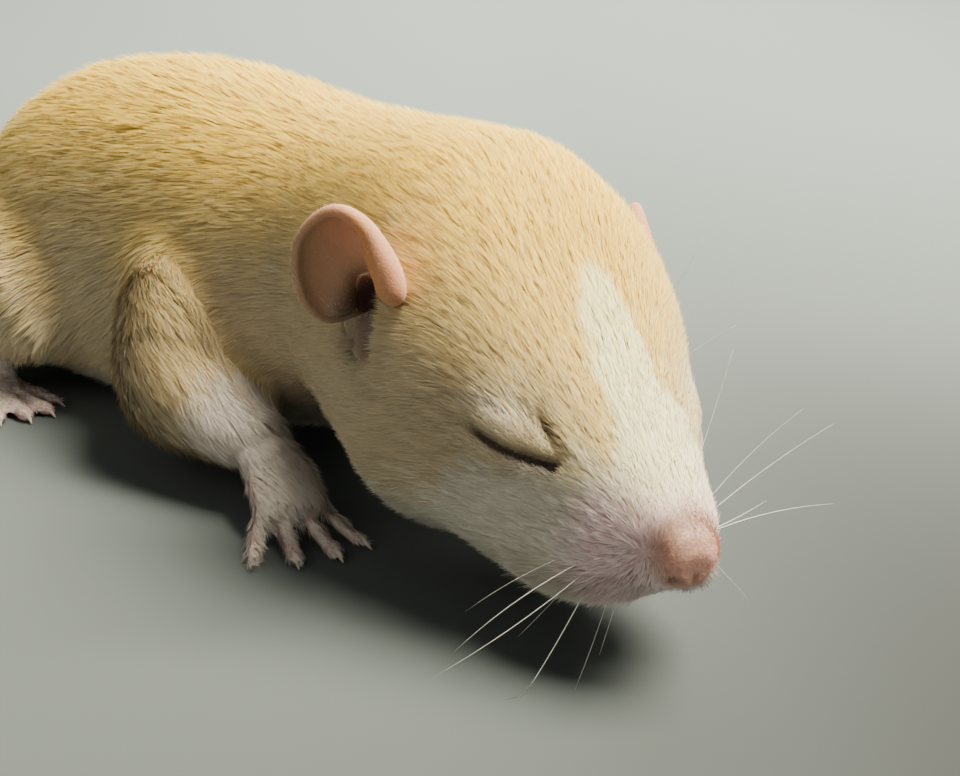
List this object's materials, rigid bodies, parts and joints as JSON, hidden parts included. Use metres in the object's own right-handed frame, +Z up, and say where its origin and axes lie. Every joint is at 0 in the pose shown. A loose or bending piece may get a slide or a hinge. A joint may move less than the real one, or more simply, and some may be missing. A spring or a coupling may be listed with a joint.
{
  "type": "dumbo rat pup",
  "caption": "Life-size still model of a fawn dumbo rat pup with a pale blaze, closed eyes and round ears, resting on its belly.",
  "frame": {"origin": "on the floor under the middle of the whole animal, tail included", "axes": "+Z up, nose towards -Y, the animal's right side towards -X"},
  "size_m": [0.0478, 0.123, 0.028],
  "materials": {
    "fur": "short soft fawn fur",
    "pale_fur": "short soft pale fur",
    "bare_skin": "moist pink skin",
    "ear_skin": "thin matt skin",
    "paw_skin": "fine matt skin",
    "tail_skin": "fine ringed skin",
    "lids": "closed furred lids"
  },
  "bodies": {
    "root": {"nose": "bare_skin", "head": "fur", "lower_jaw": "pale_fur", "eye_right": "lids", "eye_left": "lids", "ear_right": "ear_skin", "ear_left": "ear_skin", "neck": "fur", "torso": "fur", "rump": "fur", "foreleg_right": "fur", "forepaw_right": "paw_skin", "thigh_right": "fur", "hind_foot_right": "paw_skin", "foreleg_left": "fur", "forepaw_left": "paw_skin", "thigh_left": "fur", "hind_foot_left": "paw_skin", "tail_base": "tail_skin", "tail_middle": "tail_skin", "tail_tip": "tail_skin"}
  },
  "joints": []
}
